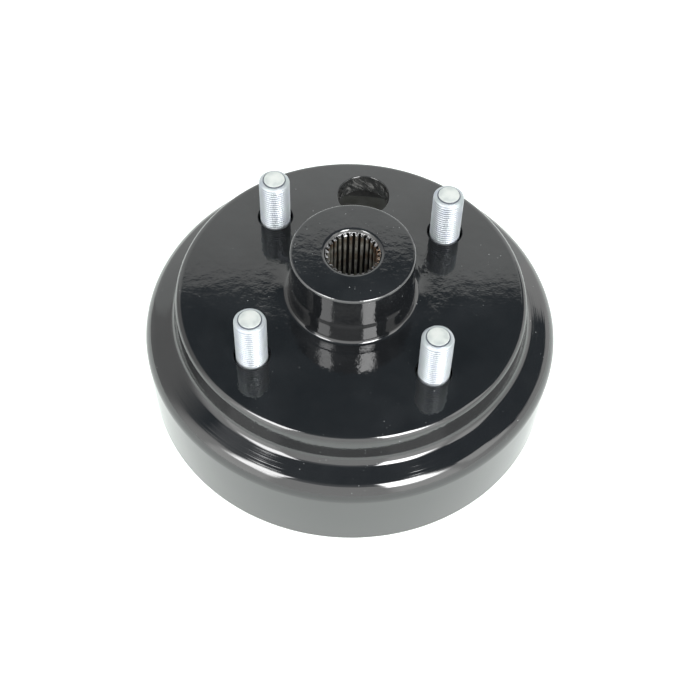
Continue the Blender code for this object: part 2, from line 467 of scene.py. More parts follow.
# One thread's section: share of the pitch, and share of the thread's depth cut away.
THREAD_FORM = [
    (0.00, 0.00), (0.06, 0.02), (0.11, 0.12), (0.22, 0.42), (0.33, 0.74), (0.42, 0.95),
    (0.50, 1.00), (0.58, 0.95), (0.67, 0.74), (0.78, 0.42), (0.89, 0.12), (0.94, 0.02),
]


def thread_share(phase):
    """How much of the thread's depth is cut away at this share of a turn."""
    phase %= 1.0
    closed = THREAD_FORM + [(1.0, 0.0)]
    for (start, first), (end, last) in zip(closed, closed[1:]):
        if phase <= end:
            return first + (last - first) * (phase - start) / (end - start)
    return 0.0


def stud_sizes():
    """The heights along a stud, in millimetres, from the seat of its head."""
    low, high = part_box("wheel_stud_1")
    tip = (high.z - low.z) / MM - STUD_HEAD_HEIGHT
    return {"tip": tip, "end": tip - STUD_POINT_LENGTH,
            "start": SERRATION_LENGTH + PLAIN_SHANK_LENGTH}


def thread_radius(angle, height, sizes):
    """The threaded shank's radius, with its run-out below and rounded chamfer above."""
    chamfer = THREAD_RADIUS - STUD_TIP_RADIUS
    fade = min(1.0, max(0.0, (height - sizes["start"]) / THREAD_RUN_OUT))
    depth = THREAD_DEPTH * fade * thread_share(height / THREAD_PITCH - angle / TAU)
    rise = max(0.0, (height - sizes["end"] + chamfer) / chamfer)
    limit = STUD_TIP_RADIUS + chamfer * (1 - min(1.0, rise) ** CHAMFER_CURVE)
    return min(THREAD_RADIUS - depth, limit)


def thread_rows(sizes):
    """Heights of the rows at angle 0. Each row climbs one pitch in a turn."""
    rows = []
    first = math.floor(sizes["start"] / THREAD_PITCH) - 2
    last = math.ceil(sizes["end"] / THREAD_PITCH) + 1
    for turn in range(first, last + 1):
        rows.extend((turn + share) * THREAD_PITCH for share, _ in THREAD_FORM)
    return rows


def head_rings():
    """The dished round head, from its centre to the foot of the shank, as (radius, height)."""
    edge = STUD_HEAD_EDGE
    head = STUD_HEAD_RADIUS
    seat = STUD_SEAT_EDGE
    bottom = -STUD_HEAD_HEIGHT
    dish = bottom + STUD_HEAD_DISH
    flat, rise = STUD_HEAD_DISH_SHARES
    rings = [(0.0, dish), (head * flat, dish), (head * rise, bottom)]
    for index in range(STUD_HEAD_EDGE_PIECES + 1):
        angle = math.pi / 2 * index / STUD_HEAD_EDGE_PIECES
        rings.append((head - edge + edge * math.sin(angle),
                      bottom + edge - edge * math.cos(angle)))
    rings += [(head, -seat), (head - 0.3 * seat, -0.3 * seat), (head - seat, 0.0)]
    rings.append((SERRATION_RADIUS, 0.0))
    return rings


def point_rings(sizes):
    """The short rimmed point above the thread, as (radius, height)."""
    point = STUD_POINT_RADIUS
    edge = STUD_POINT_EDGE
    corner = STUD_POINT_CORNER
    tip = sizes["tip"]
    rings = [(point + out, sizes["end"] + up) for out, up in STUD_POINT_GROOVE]
    rings += [(point, tip - edge), (point - corner, tip - corner), (point - edge, tip)]
    rings += [(point * 0.5, tip), (0.0, tip)]
    return rings


def serration_rings(sizes):
    """The serrated shank, as rows of (height, serration depth, radius)."""
    lead = SERRATION_RADIUS - THREAD_RADIUS
    top = SERRATION_LENGTH
    return [
        (SERRATION_START, SERRATION_DEPTH, SERRATION_RADIUS),
        (top - 2 * lead, SERRATION_DEPTH, SERRATION_RADIUS),
        (top - lead, SERRATION_DEPTH * 0.5, SERRATION_RADIUS - lead * 0.45),
        (top, 0.0, THREAD_RADIUS),
        (sizes["start"], 0.0, THREAD_RADIUS),
    ]


def lower_rows(sizes, angles):
    """The rows of the head and the serrated shank."""
    rows = [[ring] * len(angles) for ring in head_rings()]
    for height, depth, radius in serration_rings(sizes):
        row = []
        for angle in angles:
            wave = abs(math.sin(angle * SERRATIONS / 2))
            row.append((radius - depth * (1 - wave), height))
        rows.append(row)
    return rows


def climbing_rows(sizes, angles):
    """The thread's rows, each of which keeps to one place on the thread's section."""
    rows = []
    for base in thread_rows(sizes):
        row = []
        for angle in angles:
            height = min(sizes["end"], max(sizes["start"], base + THREAD_PITCH * angle / TAU))
            row.append((thread_radius(angle, height, sizes), height))
        rows.append(row)
    return rows


def row_vertices(row, angles):
    """The points of one row, in metres."""
    points = []
    for (radius, height), angle in zip(row, angles):
        points.append((radius * MM * math.cos(angle), radius * MM * math.sin(angle),
                       height * MM))
    return points


def row_faces(lower, upper):
    """The faces between two rows, given their numbers."""
    low = lower * (STUD_STEPS + 1)
    high = upper * (STUD_STEPS + 1)
    return [(low + step, low + step + 1, high + step + 1, high + step)
            for step in range(STUD_STEPS)]


def stud_mesh():
    """A wheel stud with a helical thread, serrated shank, round head and rimmed point."""
    sizes = stud_sizes()
    angles = [TAU * step / STUD_STEPS for step in range(STUD_STEPS + 1)]
    lower = lower_rows(sizes, angles)
    climbing = climbing_rows(sizes, angles)
    rows = lower + climbing
    rows += [[ring] * len(angles) for ring in point_rings(sizes)]
    vertices = []
    for row in rows:
        vertices.extend(row_vertices(row, angles))
    # The thread's first row lies on the shank's last one, and the two merge.
    faces = []
    for number in range(len(rows) - 1):
        if number != len(lower) - 1:
            faces.extend(row_faces(number, number + 1))
    return closed_mesh("stud", vertices, faces, 2 * MERGE)


def make_studs(zinc, end):
    """The four threaded studs, each in its CAD stud's place."""
    mesh = stud_mesh()
    tip = stud_sizes()["tip"] * MM
    mesh.materials.append(zinc)
    mesh.materials.append(end)
    for face in mesh.polygons:
        inside = math.hypot(face.center.x, face.center.y) < STUD_POINT_RADIUS * MM
        if inside and face.center.z > tip - STUD_END_MARGIN * MM:
            face.material_index = 1
    mesh.shade_smooth()
    mesh.set_sharp_from_angle(angle=STUD_SHARP_ANGLE)
    for number, (name, centre) in enumerate(stud_centres().items()):
        low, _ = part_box(name)
        seat = low.z + STUD_HEAD_HEIGHT * MM
        item = place("threaded_" + name, mesh, (centre.x, centre.y, seat), STUD_TURN * number)
        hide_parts(name)
        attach(item, "root")


# ---------------------------------------------------------------- finishes

def add(tree, kind, sockets=None, **settings):
    """Adds a shader node, sets its options, and fills or links its sockets."""
    item = tree.nodes.new(kind)
    for key, value in settings.items():
        setattr(item, key, value)
    for key, value in (sockets or {}).items():
        if isinstance(value, bpy.types.NodeSocket):
            tree.links.new(value, item.inputs[key])
        else:
            item.inputs[key].default_value = value
    return item


def ramp(tree, factor, stops):
    """A colour ramp over a factor. Each stop is (position, grey or colour)."""
    item = add(tree, "ShaderNodeValToRGB", {"Fac": factor})
    points = item.color_ramp.elements
    while len(points) < len(stops):
        points.new(0.5)
    for point, (position, colour) in zip(points, stops):
        if not isinstance(colour, tuple):
            colour = (colour, colour, colour)
        point.position = position
        point.color = (*colour, 1)
    return item.outputs["Color"]


def maths(tree, operation, first, second=0.0):
    """One arithmetic step."""
    item = add(tree, "ShaderNodeMath", {0: first, 1: second}, operation=operation)
    return item.outputs["Value"]


def noise(tree, where, scale, detail=2.0, rough=0.5, distort=0.0):
    """Fractal noise over object coordinates, from 0 to 1."""
    item = add(tree, "ShaderNodeTexNoise",
               {"Vector": where, "Scale": scale, "Detail": detail, "Roughness": rough,
                "Distortion": distort})
    return item.outputs["Fac"]


def step_up(tree, value, start, end):
    """A smooth step from 0 at start to 1 at end."""
    item = add(tree, "ShaderNodeMapRange",
               {"Value": value, "From Min": start, "From Max": end, "To Min": 0.0,
                "To Max": 1.0}, interpolation_type="SMOOTHSTEP")
    return item.outputs["Result"]


def window(tree, value, start, end, soft):
    """1 between start and end and 0 outside, with soft sides."""
    enter = step_up(tree, value, start - soft, start + soft)
    leave = step_up(tree, value, end - soft, end + soft)
    return maths(tree, "SUBTRACT", enter, leave)


def blend(tree, share, first, second):
    """A number that goes from first to second as share goes from 0 to 1."""
    item = add(tree, "ShaderNodeMix", {"Factor": share, 2: first, 3: second}, data_type="FLOAT")
    return item.outputs[0]


def multiply(tree, first, second):
    """The product of two values."""
    return maths(tree, "MULTIPLY", first, second)


def over_span(tree, value, span):
    """A smooth step over a span given in millimetres."""
    return step_up(tree, value, span[0] * MM, span[1] * MM)


def ring_place(tree, radius, height):
    """Coordinates that stay the same round the axle, for lines that run round it."""
    item = add(tree, "ShaderNodeCombineXYZ", {"X": radius, "Y": height, "Z": 0.0})
    return item.outputs["Vector"]


def new_material(name, roughness, metallic=0.0):
    """A material with its shader, tree and object coordinates."""
    material = bpy.data.materials.new(name)
    material.use_nodes = True
    tree = material.node_tree
    shader = tree.nodes["Principled BSDF"]
    shader.inputs["Roughness"].default_value = roughness
    shader.inputs["Metallic"].default_value = metallic
    where = add(tree, "ShaderNodeTexCoord").outputs["Object"]
    return material, tree, shader, where


def set_finish(tree, shader, body, gloss, relief):
    """Links a material's colour, roughness and relief."""
    tree.links.new(body, shader.inputs["Base Color"])
    tree.links.new(gloss, shader.inputs["Roughness"])
    tree.links.new(relief, shader.inputs["Normal"])


def bump(tree, height, distance, below=None):
    """Turns a height into a bump, on top of another bump if there is one."""
    sockets = {"Height": height, "Distance": distance, "Strength": 1.0}
    if below is not None:
        sockets["Normal"] = below
    return add(tree, "ShaderNodeBump", sockets).outputs["Normal"]


def specks(tree, where, scale, size, share):
    """Small round specks, 1 inside and 0 outside, in a share of the cells."""
    cells = add(tree, "ShaderNodeTexVoronoi", {"Vector": where, "Scale": scale})
    chosen = add(tree, "ShaderNodeSeparateColor", {"Color": cells.outputs["Color"]})
    pick = maths(tree, "LESS_THAN", chosen.outputs["Red"], share)
    reach = multiply(tree, chosen.outputs["Green"], size)
    near = maths(tree, "LESS_THAN", cells.outputs["Distance"], reach)
    return multiply(tree, pick, near)


def axis_distance(tree, where):
    """Distance from the object's own Z axis."""
    flat = add(tree, "ShaderNodeVectorMath", {0: where, 1: (1.0, 1.0, 0.0)}, operation="MULTIPLY")
    length = add(tree, "ShaderNodeVectorMath", {0: flat.outputs["Vector"]}, operation="LENGTH")
    return length.outputs["Value"]


def mix_colour(tree, share, first, second):
    """A colour that goes from first to second as share goes from 0 to 1."""
    item = add(tree, "ShaderNodeMix", {"Factor": share, 6: first, 7: second}, data_type="RGBA")
    return item.outputs[2]


def stretched_place(tree, where, along):
    """Object coordinates squeezed along Z, so that noise stretches into upright streaks."""
    item = add(tree, "ShaderNodeVectorMath", {0: where, 1: (1.0, 1.0, along)},
               operation="MULTIPLY")
    return item.outputs["Vector"]


# The black paint. Spans and sizes are in millimetres: heights up from the open rim, and radii.
PAINT_IOR = 1.8
RIPPLE_HEIGHTS = (44.0, 52.0)
HUB_END_HEIGHTS = (70.0, 78.0)
NEAR_HUB_RADII = (29.0, 39.0)
NEAR_HUB_BLUR = 3.0
# The ripples' extra strength on the hub's end and round its foot.
HUB_END_RIPPLE = 0.5
NEAR_HUB_RIPPLE = 1.5
WAVE_DEPTH = 0.030
PEEL_DEPTH = 0.034
# The hollow beside the hub's foot: its outer edge, width, depth, and where it fades in and out.
HOLLOW_RADIUS = 33.5
HOLLOW_WIDTH = 5.5
HOLLOW_DEPTH = 0.45
HOLLOW_PLACES = (-14.0, 2.0)
HOLLOW_HEIGHTS = (54.5, 56.0)
# Fine broken rings on the ledge outside the flange's edge.
LEDGE_RADII = (72.2, 73.5)
LEDGE_HEIGHTS = (26.0, 36.0)
LEDGE_RING_DEPTH = 0.060
DUST_HEIGHTS = (26.0, 34.0)
DUST_DEPTH = 0.04
PIT_DEPTH = -0.10
# A thin painted highlight line on the hub's rim, a lighter grey in the paint's colour.
RIM_LINE_INSET = 0.62
RIM_LINE_WIDTH = 0.5
RIM_LINE_BLUR = 0.12
RIM_LINE_HEIGHTS = (78.4, 78.6)
VEIL_COLOUR = (0.0112, 0.0120, 0.0130, 1)
RIM_HIGHLIGHT_COLOUR = (0.038, 0.040, 0.041, 1)
DUST_COLOUR = (0.20, 0.21, 0.21, 1)


def paint_ripples(tree, where, height, radius, upper):
    """Waves and orange peel, strongest on the hub's end and round its foot."""
    start, end = NEAR_HUB_RADII
    around = window(tree, radius, start * MM, end * MM, NEAR_HUB_BLUR * MM)
    near_hub = multiply(tree, around, upper)
    hub_end = over_span(tree, height, HUB_END_HEIGHTS)
    strength = maths(tree, "ADD", upper, multiply(tree, hub_end, HUB_END_RIPPLE))
    strength = maths(tree, "ADD", strength, multiply(tree, near_hub, NEAR_HUB_RIPPLE))
    waves = noise(tree, where, 105.0, 1.0, 0.4)
    peel = noise(tree, where, 310.0, 3.0, 0.58)
    waved = bump(tree, multiply(tree, waves, strength), WAVE_DEPTH * MM)
    return bump(tree, multiply(tree, peel, strength), PEEL_DEPTH * MM, waved)


def paint_hollow(tree, split, radius, below):
    """A shallow hollow where the paint climbs up to the hub, beside it and behind it."""
    inside = maths(tree, "SUBTRACT", HOLLOW_RADIUS * MM, radius)
    closeness = maths(tree, "DIVIDE", inside, HOLLOW_WIDTH * MM)
    hollow = maths(tree, "POWER", maths(tree, "MAXIMUM", closeness, 0.0), 2.0)
    beside = maths(tree, "SUBTRACT", over_span(tree, split.outputs["Y"], HOLLOW_PLACES),
                   over_span(tree, split.outputs["Z"], HOLLOW_HEIGHTS))
    run_up = multiply(tree, hollow, maths(tree, "MAXIMUM", beside, 0.0))
    return bump(tree, run_up, HOLLOW_DEPTH * MM, below)


def ledge_rings(tree, where, height, radius, below):
    """Fine broken rings on the ledge outside the flange's edge."""
    ledge = multiply(tree, over_span(tree, radius, LEDGE_RADII),
                     over_span(tree, height, LEDGE_HEIGHTS))
    rings = noise(tree, ring_place(tree, radius, height), 1500.0, 3.0, 0.6)
    gaps = step_up(tree, noise(tree, where, 48.0, 2.0, 0.5), 0.36, 0.62)
    broken = multiply(tree, gaps, ledge)
    return bump(tree, multiply(tree, rings, broken), LEDGE_RING_DEPTH * MM, below)


def rim_highlight(tree, height, radius):
    """1 on the thin painted highlight line round the hub's end."""
    start = HUB_RADIUS - RIM_LINE_INSET
    around = window(tree, radius, start * MM, (start + RIM_LINE_WIDTH) * MM,
                    RIM_LINE_BLUR * MM)
    return multiply(tree, around, over_span(tree, height, RIM_LINE_HEIGHTS))


def black_paint():
    """Gloss black paint: orange peel on the flange and hub, a smooth wall, dust and pits."""
    material, tree, shader, where = new_material("gloss_black_paint", 0.05)
    split = add(tree, "ShaderNodeSeparateXYZ", {"Vector": where})
    height = split.outputs["Z"]
    radius = axis_distance(tree, where)
    upper = over_span(tree, height, RIPPLE_HEIGHTS)
    above_wall = over_span(tree, height, DUST_HEIGHTS)
    patches = step_up(tree, noise(tree, where, 42.0, 2.0, 0.5), 0.46, 0.68)
    fine_dust = multiply(tree, specks(tree, where, 820.0, 0.20, 0.16), patches)
    coarse_dust = specks(tree, where, 240.0, 0.09, 0.10)
    dust = multiply(tree, maths(tree, "MAXIMUM", coarse_dust, fine_dust), above_wall)
    pits = multiply(tree, specks(tree, where, 150.0, 0.09, 0.03), above_wall)
    relief = paint_ripples(tree, where, height, radius, upper)
    relief = paint_hollow(tree, split, radius, relief)
    relief = ledge_rings(tree, where, height, radius, relief)
    relief = bump(tree, dust, DUST_DEPTH * MM, relief)
    relief = bump(tree, pits, PIT_DEPTH * MM, relief)
    streaks = noise(tree, stretched_place(tree, where, 0.06), 150.0, 3.0, 0.6)
    tone = noise(tree, where, 45.0, 3.0, 0.6)
    mottled = maths(tree, "ADD", multiply(tree, tone, 0.6), multiply(tree, streaks, 0.4))
    body = ramp(tree, mottled, [(0.3, (0.0055, 0.0060, 0.0068)), (0.7, (0.0095, 0.0100, 0.0108))])
    body = mix_colour(tree, multiply(tree, patches, upper), body, VEIL_COLOUR)
    # Painted highlight: a lighter grey line round the hub's rim.
    body = mix_colour(tree, rim_highlight(tree, height, radius), body, RIM_HIGHLIGHT_COLOUR)
    body = mix_colour(tree, dust, body, DUST_COLOUR)
    fine = noise(tree, where, 600.0, 4.0, 0.6)
    worn = maths(tree, "ADD", multiply(tree, fine, 0.5), multiply(tree, streaks, 0.5))
    gloss = ramp(tree, worn, [(0.35, 0.030), (0.75, 0.065)])
    set_finish(tree, shader, body, gloss, relief)
    shader.inputs["IOR"].default_value = PAINT_IOR
    return material


def hole_paint():
    """The same paint in the access hole, thick and run over a rough cut, with painted glints:
    light grey streaks along the runs.
    """
    material, tree, shader, where = new_material("run_black_paint", 0.2)
    slanted = add(tree, "ShaderNodeVectorRotate", {"Vector": where, "Angle": 0.7},
                  rotation_type="Y_AXIS")
    stretched = stretched_place(tree, slanted.outputs["Vector"], 0.22)
    runs_and_glints = noise(tree, stretched, 380.0, 3.0, 0.6, 0.6)
    lumps = noise(tree, where, 260.0, 3.0, 0.6)
    first = bump(tree, runs_and_glints, 0.0006)
    second = bump(tree, lumps, 0.0003, first)
    # Painted glints: the crests of the runs are coloured light grey, while the rest stays near
    # black.
    body = ramp(tree, runs_and_glints, [(0.35, (0.006, 0.006, 0.007)), (0.54, (0.020, 0.020, 0.020)),
                             (0.66, (0.150, 0.148, 0.145))])
    gloss = ramp(tree, lumps, [(0.3, 0.16), (0.7, 0.34)])
    set_finish(tree, shader, body, gloss, second)
    shader.inputs["IOR"].default_value = PAINT_IOR
    return material


# Where rust starts on the bore's right side, and where the painted shade in a groove starts, in
# millimetres.
LIP_RUST_PLACES = (8.5, 10.0)
TOOTH_RUST_PLACES = (5.0, 11.0)
GROOVE_RADII = (9.75, 10.35)


def worn_lip():
    """The ends of the spline teeth, worn bright, with black and a little rust between."""
    material, tree, shader, where = new_material("worn_tooth_ends", 0.35, 0.8)
    patches = noise(tree, where, 760.0, 3.0, 0.65)
    split = add(tree, "ShaderNodeSeparateXYZ", {"Vector": where})
    bare = ramp(tree, patches, [(0.43, (0.02, 0.02, 0.02)), (0.52, (0.20, 0.20, 0.20)),
                                (0.66, (0.50, 0.50, 0.52))])
    right = over_span(tree, split.outputs["X"], LIP_RUST_PLACES)
    rusty = multiply(tree, right, step_up(tree, patches, 0.47, 0.55))
    body = mix_colour(tree, rusty, bare, (0.40, 0.26, 0.17, 1))
    gloss = ramp(tree, patches, [(0.3, 0.50), (0.7, 0.30)])
    set_finish(tree, shader, body, gloss, bump(tree, patches, 0.00016))
    return material


def inside_paint():
    """Thin black paint over the rough cast inside."""
    material, tree, shader, where = new_material("thin_black_paint", 0.4)
    grain = noise(tree, where, 900.0, 4.0, 0.6)
    lumps = noise(tree, where, 160.0, 3.0, 0.55)
    first = bump(tree, lumps, 0.00035)
    second = bump(tree, grain, 0.00010, first)
    body = ramp(tree, lumps, [(0.3, (0.012, 0.012, 0.013)), (0.7, (0.045, 0.044, 0.043))])
    gloss = ramp(tree, grain, [(0.3, 0.30), (0.7, 0.55)])
    set_finish(tree, shader, body, gloss, second)
    return material


def turned_iron():
    """Bare turned iron with fine tool lines round the axle."""
    material, tree, shader, where = new_material("turned_iron", 0.3, 1.0)
    split = add(tree, "ShaderNodeSeparateXYZ", {"Vector": where})
    around = ring_place(tree, axis_distance(tree, where), split.outputs["Z"])
    lines = noise(tree, around, 5200.0, 2.0, 0.5)
    stain = noise(tree, where, 70.0, 4.0, 0.6)
    normal = bump(tree, lines, 0.00002)
    body = ramp(tree, stain, [(0.3, (0.20, 0.19, 0.18)), (0.6, (0.33, 0.32, 0.31)),
                              (0.8, (0.28, 0.22, 0.17))])
    gloss = ramp(tree, lines, [(0.3, 0.25), (0.7, 0.42)])
    set_finish(tree, shader, body, gloss, normal)
    return material


def spline_steel():
    """The broached bore: bare tooth tips, grooves darkened with painted shade, and a little rust
    on one side.
    """
    material, tree, shader, where = new_material("broached_steel", 0.45, 0.7)
    streaks = noise(tree, stretched_place(tree, where, 0.10), 1100.0, 3.0, 0.6)
    stain = noise(tree, where, 150.0, 4.0, 0.65)
    split = add(tree, "ShaderNodeSeparateXYZ", {"Vector": where})
    right = over_span(tree, split.outputs["X"], TOOTH_RUST_PLACES)
    rusty = maths(tree, "ADD", stain, multiply(tree, right, 0.17))
    tips = ramp(tree, rusty, [(0.35, (0.52, 0.51, 0.46)), (0.50, (0.26, 0.25, 0.21)),
                              (0.66, (0.16, 0.10, 0.065)), (0.76, (0.32, 0.16, 0.09))])
    groove = over_span(tree, axis_distance(tree, where), GROOVE_RADII)
    # Painted shade: the grooves between the teeth are coloured near black.
    groove_shaded = mix_colour(tree, groove, tips, (0.014, 0.013, 0.012, 1))
    flecked = mix_colour(tree, step_up(tree, streaks, 0.55, 0.70), groove_shaded, (0.30, 0.30, 0.29, 1))
    body = mix_colour(tree, groove, flecked, groove_shaded)
    gloss = ramp(tree, streaks, [(0.3, 0.30), (0.7, 0.5)])
    normal = bump(tree, streaks, 0.00005)
    set_finish(tree, shader, body, gloss, normal)
    return material


# Where painted shade darkens a stud's plate in its thread roots and round its end, and where the
# plate stays light, in millimetres.
CHAMFER_BLUR = 0.3
CREST_MARGIN = 0.1
END_GROOVE_MARGINS = (0.1, 0.05)
END_GROOVE_BLUR = 0.08
END_GROOVE_SHADE = 0.8
THREAD_ROOT_SHADE_COLOUR = (0.10, 0.11, 0.14, 1)


def painted_thread_light(tree, where):
    """Painted light and shade: 1 on the thread's crests and the chamfer, and less where shade
    falls in its roots and round its end.
    """
    sizes = stud_sizes()
    chamfer = sizes["end"] - THREAD_RADIUS + STUD_TIP_RADIUS
    split = add(tree, "ShaderNodeSeparateXYZ", {"Vector": where})
    radius = axis_distance(tree, where)
    above = over_span(tree, split.outputs["Z"],
                      (chamfer - CHAMFER_BLUR, chamfer + CHAMFER_BLUR))
    crest = over_span(tree, radius, (THREAD_RADIUS - THREAD_DEPTH, THREAD_RADIUS - CREST_MARGIN))
    open_part = maths(tree, "MAXIMUM", crest, above)
    inner, outer = END_GROOVE_MARGINS
    groove = window(tree, radius, (STUD_POINT_RADIUS - inner) * MM,
                    (STUD_TIP_RADIUS - outer) * MM, END_GROOVE_BLUR * MM)
    return maths(tree, "SUBTRACT", open_part, multiply(tree, groove, END_GROOVE_SHADE))


def bright_zinc():
    """Bright zinc plate, with painted shade darkening the thread roots under the light crests,
    and a faint blue cast.
    """
    material, tree, shader, where = new_material("bright_zinc", 0.36, 0.55)
    grain = noise(tree, where, 2600.0, 3.0, 0.6)
    tint = noise(tree, where, 180.0, 2.0, 0.5)
    plate = ramp(tree, tint, [(0.35, (0.355, 0.385, 0.43)), (0.5, (0.405, 0.43, 0.45)),
                              (0.65, (0.38, 0.42, 0.425))])
    # Painted shade: the thread roots and the ring round the stud's end are coloured darker than
    # the crests.
    body = mix_colour(tree, painted_thread_light(tree, where), THREAD_ROOT_SHADE_COLOUR, plate)
    gloss = ramp(tree, grain, [(0.3, 0.36), (0.7, 0.48)])
    set_finish(tree, shader, body, gloss, bump(tree, grain, 0.000006))
    return material


def stud_end_zinc():
    """The stud's flat end: matt, sheared metal under the plate."""
    material, tree, shader, where = new_material("zinc_stud_end", 0.5, 0.25)
    grain = noise(tree, where, 1500.0, 4.0, 0.65)
    marks = noise(tree, where, 260.0, 2.0, 0.5)
    body = ramp(tree, marks, [(0.32, (0.42, 0.45, 0.44)), (0.5, (0.49, 0.52, 0.50)),
                              (0.68, (0.53, 0.55, 0.53))])
    gloss = ramp(tree, grain, [(0.3, 0.40), (0.7, 0.60)])
    set_finish(tree, shader, body, gloss, bump(tree, grain, 0.00002))
    return material


# ---------------------------------------------------------------- the studio

# The pale floor, in metres. It glows a little, and less in the shade under the drum.
FLOOR_SIZE = 8.0
FLOOR_DROP = 0.0002
FLOOR_COLOUR = (0.45, 0.46, 0.45, 1)
FLOOR_GLOW_COLOUR = (0.93, 1.0, 0.965, 1)
FLOOR_GLOW = 0.80
FLOOR_GLOW_UNDER = 0.14

# A white board stands behind the object, and its top edge shows in the gloss as a horizon.
BOARD_DISTANCE = 0.43
BOARD_HEIGHT = 0.598
BOARD_LEFT = -0.60
BOARD_RIGHT = 0.34
BOARD_TILT = -0.042
BOARD_EDGE = 0.010
BOARD_MARGIN = 0.05
BOARD_COLOUR = (0.975, 1.0, 0.985, 1)
# Its light at the top edge, its gain for each metre down, its limit and its gain to the right.
BOARD_TOP_LIGHT = 0.86
BOARD_GAIN_DOWN = 2.5
BOARD_LIGHT_LIMIT = 1.3
BOARD_GAIN_RIGHT = 0.35

# The room, in degrees: turns go from the camera's side to the right, and rises go up from level.
# Below a wall's top the room is bright, and above it the room is dark.
LEFT_TO_RIGHT = (-20.0, 20.0)
LEFT_RADIANCE = 0.72
RIGHT_RADIANCE = 1.50
FRONT_RADIANCE = 1.75
FRONT_TURN = (-85.0, 65.0)
FRONT_TURN_BLUR = 12.0
WALL_COLOUR = (1.0, 1.0, 0.985)
ROOM_COLOUR = (0.088, 0.115, 0.135)
WALL_TOP_FRONT = 52.5
WALL_TOP_LEFT = 48.0
WALL_TOP_RIGHT = 25.0
WALL_TOP_NEAR_RIGHT = 50.0
WALL_TOP_BEHIND = 42.0
TOP_FRONT_TURN = (-88.0, 60.0)
TOP_NEAR_RIGHT_TURN = (60.0, 84.0)
TOP_BEHIND_TURN = (-158.0, -145.0)
TOP_TURN_BLUR = 4.0
FRONT_TOP_BLUR = 0.7
LEFT_TOP_BLUR = 6.0
RIGHT_TOP_BLUR = 1.5
# A faint glow above the front wall.
HALO_TOP_FRONT = 74.0
HALO_COLOUR = (0.62, 0.64, 0.66)
# Bright panels: start and end of the turn, bottom and top rise.
PANELS = [(-65.0, -34.0, 0.0, 35.0), (21.5, 52.5, 0.0, 35.0), (60.0, 85.0, 22.0, 50.0)]
PANEL_BLUR = 3.0
PANEL_RADIANCE = 2.6
# Softboxes: turn, rise, width, height and radiance. They are sharp inwards and fade outwards.
SOFTBOXES = [(-49.5, 50.0, 31.0, 26.0, 11.0), (37.0, 50.0, 31.0, 26.0, 21.0)]
SOFTBOX_INNER_BLUR = 1.8
SOFTBOX_OUTER_BLUR = 7.0
SOFTBOX_TOP_BLUR = 3.0


def make_floor():
    """A plain pale floor under the open rim, which is clear when seen from below."""
    half = FLOOR_SIZE / 2
    mesh = bpy.data.meshes.new("floor")
    mesh.from_pydata([(-half, -half, 0), (half, -half, 0), (half, half, 0), (-half, half, 0)],
                     [], [(0, 1, 2, 3)])
    item = place("floor", mesh, (0, 0, cad_low.z - FLOOR_DROP))
    material, tree, shader, where = new_material("pale_floor", 0.6)
    shader.inputs["Base Color"].default_value = FLOOR_COLOUR
    shader.inputs["Emission Color"].default_value = FLOOR_GLOW_COLOUR
    outside = over_span(tree, axis_distance(tree, where), (TRACK_RADIUS, WALL_RADIUS))
    glow = blend(tree, outside, FLOOR_GLOW_UNDER, FLOOR_GLOW)
    tree.links.new(glow, shader.inputs["Emission Strength"])
    below = add(tree, "ShaderNodeNewGeometry").outputs["Backfacing"]
    clear = add(tree, "ShaderNodeBsdfTransparent")
    one_sided = add(tree, "ShaderNodeMixShader",
                    {0: below, 1: shader.outputs["BSDF"], 2: clear.outputs["BSDF"]})
    tree.links.new(one_sided.outputs["Shader"], tree.nodes["Material Output"].inputs["Surface"])
    mesh.materials.append(material)


def board_light():
    """The board's glow: brighter towards its foot and to the right, and clear above its edge."""
    material = bpy.data.materials.new("lit_board")
    material.use_nodes = True
    tree = material.node_tree
    tree.nodes.clear()
    where = add(tree, "ShaderNodeTexCoord").outputs["Object"]
    split = add(tree, "ShaderNodeSeparateXYZ", {"Vector": where})
    across = split.outputs["X"]
    top = maths(tree, "ADD", multiply(tree, across, BOARD_TILT), BOARD_HEIGHT)
    depth = maths(tree, "SUBTRACT", top, split.outputs["Z"])
    edge = step_up(tree, depth, -BOARD_EDGE, BOARD_EDGE)
    light = maths(tree, "ADD", BOARD_TOP_LIGHT, multiply(tree, depth, BOARD_GAIN_DOWN))
    light = maths(tree, "MINIMUM", light, BOARD_LIGHT_LIMIT)
    side = maths(tree, "ADD", 1.0, multiply(tree, across, BOARD_GAIN_RIGHT))
    glow = add(tree, "ShaderNodeEmission",
               {"Color": BOARD_COLOUR, "Strength": multiply(tree, light, side)})
    clear = add(tree, "ShaderNodeBsdfTransparent")
    both = add(tree, "ShaderNodeMixShader",
               {0: edge, 1: clear.outputs["BSDF"], 2: glow.outputs["Emission"]})
    add(tree, "ShaderNodeOutputMaterial", {"Surface": both.outputs["Shader"]})
    return material


def make_board():
    """The white board behind the object, which only shows in the gloss."""
    mesh = bpy.data.meshes.new("white_board")
    top = BOARD_HEIGHT + BOARD_MARGIN
    corners = [(BOARD_LEFT, 0, 0), (BOARD_RIGHT, 0, 0), (BOARD_RIGHT, 0, top),
               (BOARD_LEFT, 0, top)]
    mesh.from_pydata(corners, [], [(0, 1, 2, 3)])
    mesh.materials.append(board_light())
    location = (-math.sin(CAMERA_TURN) * BOARD_DISTANCE,
                math.cos(CAMERA_TURN) * BOARD_DISTANCE, cad_low.z)
    item = place("white_board", mesh, location, CAMERA_TURN)
    item.visible_camera = False
    item.visible_shadow = False


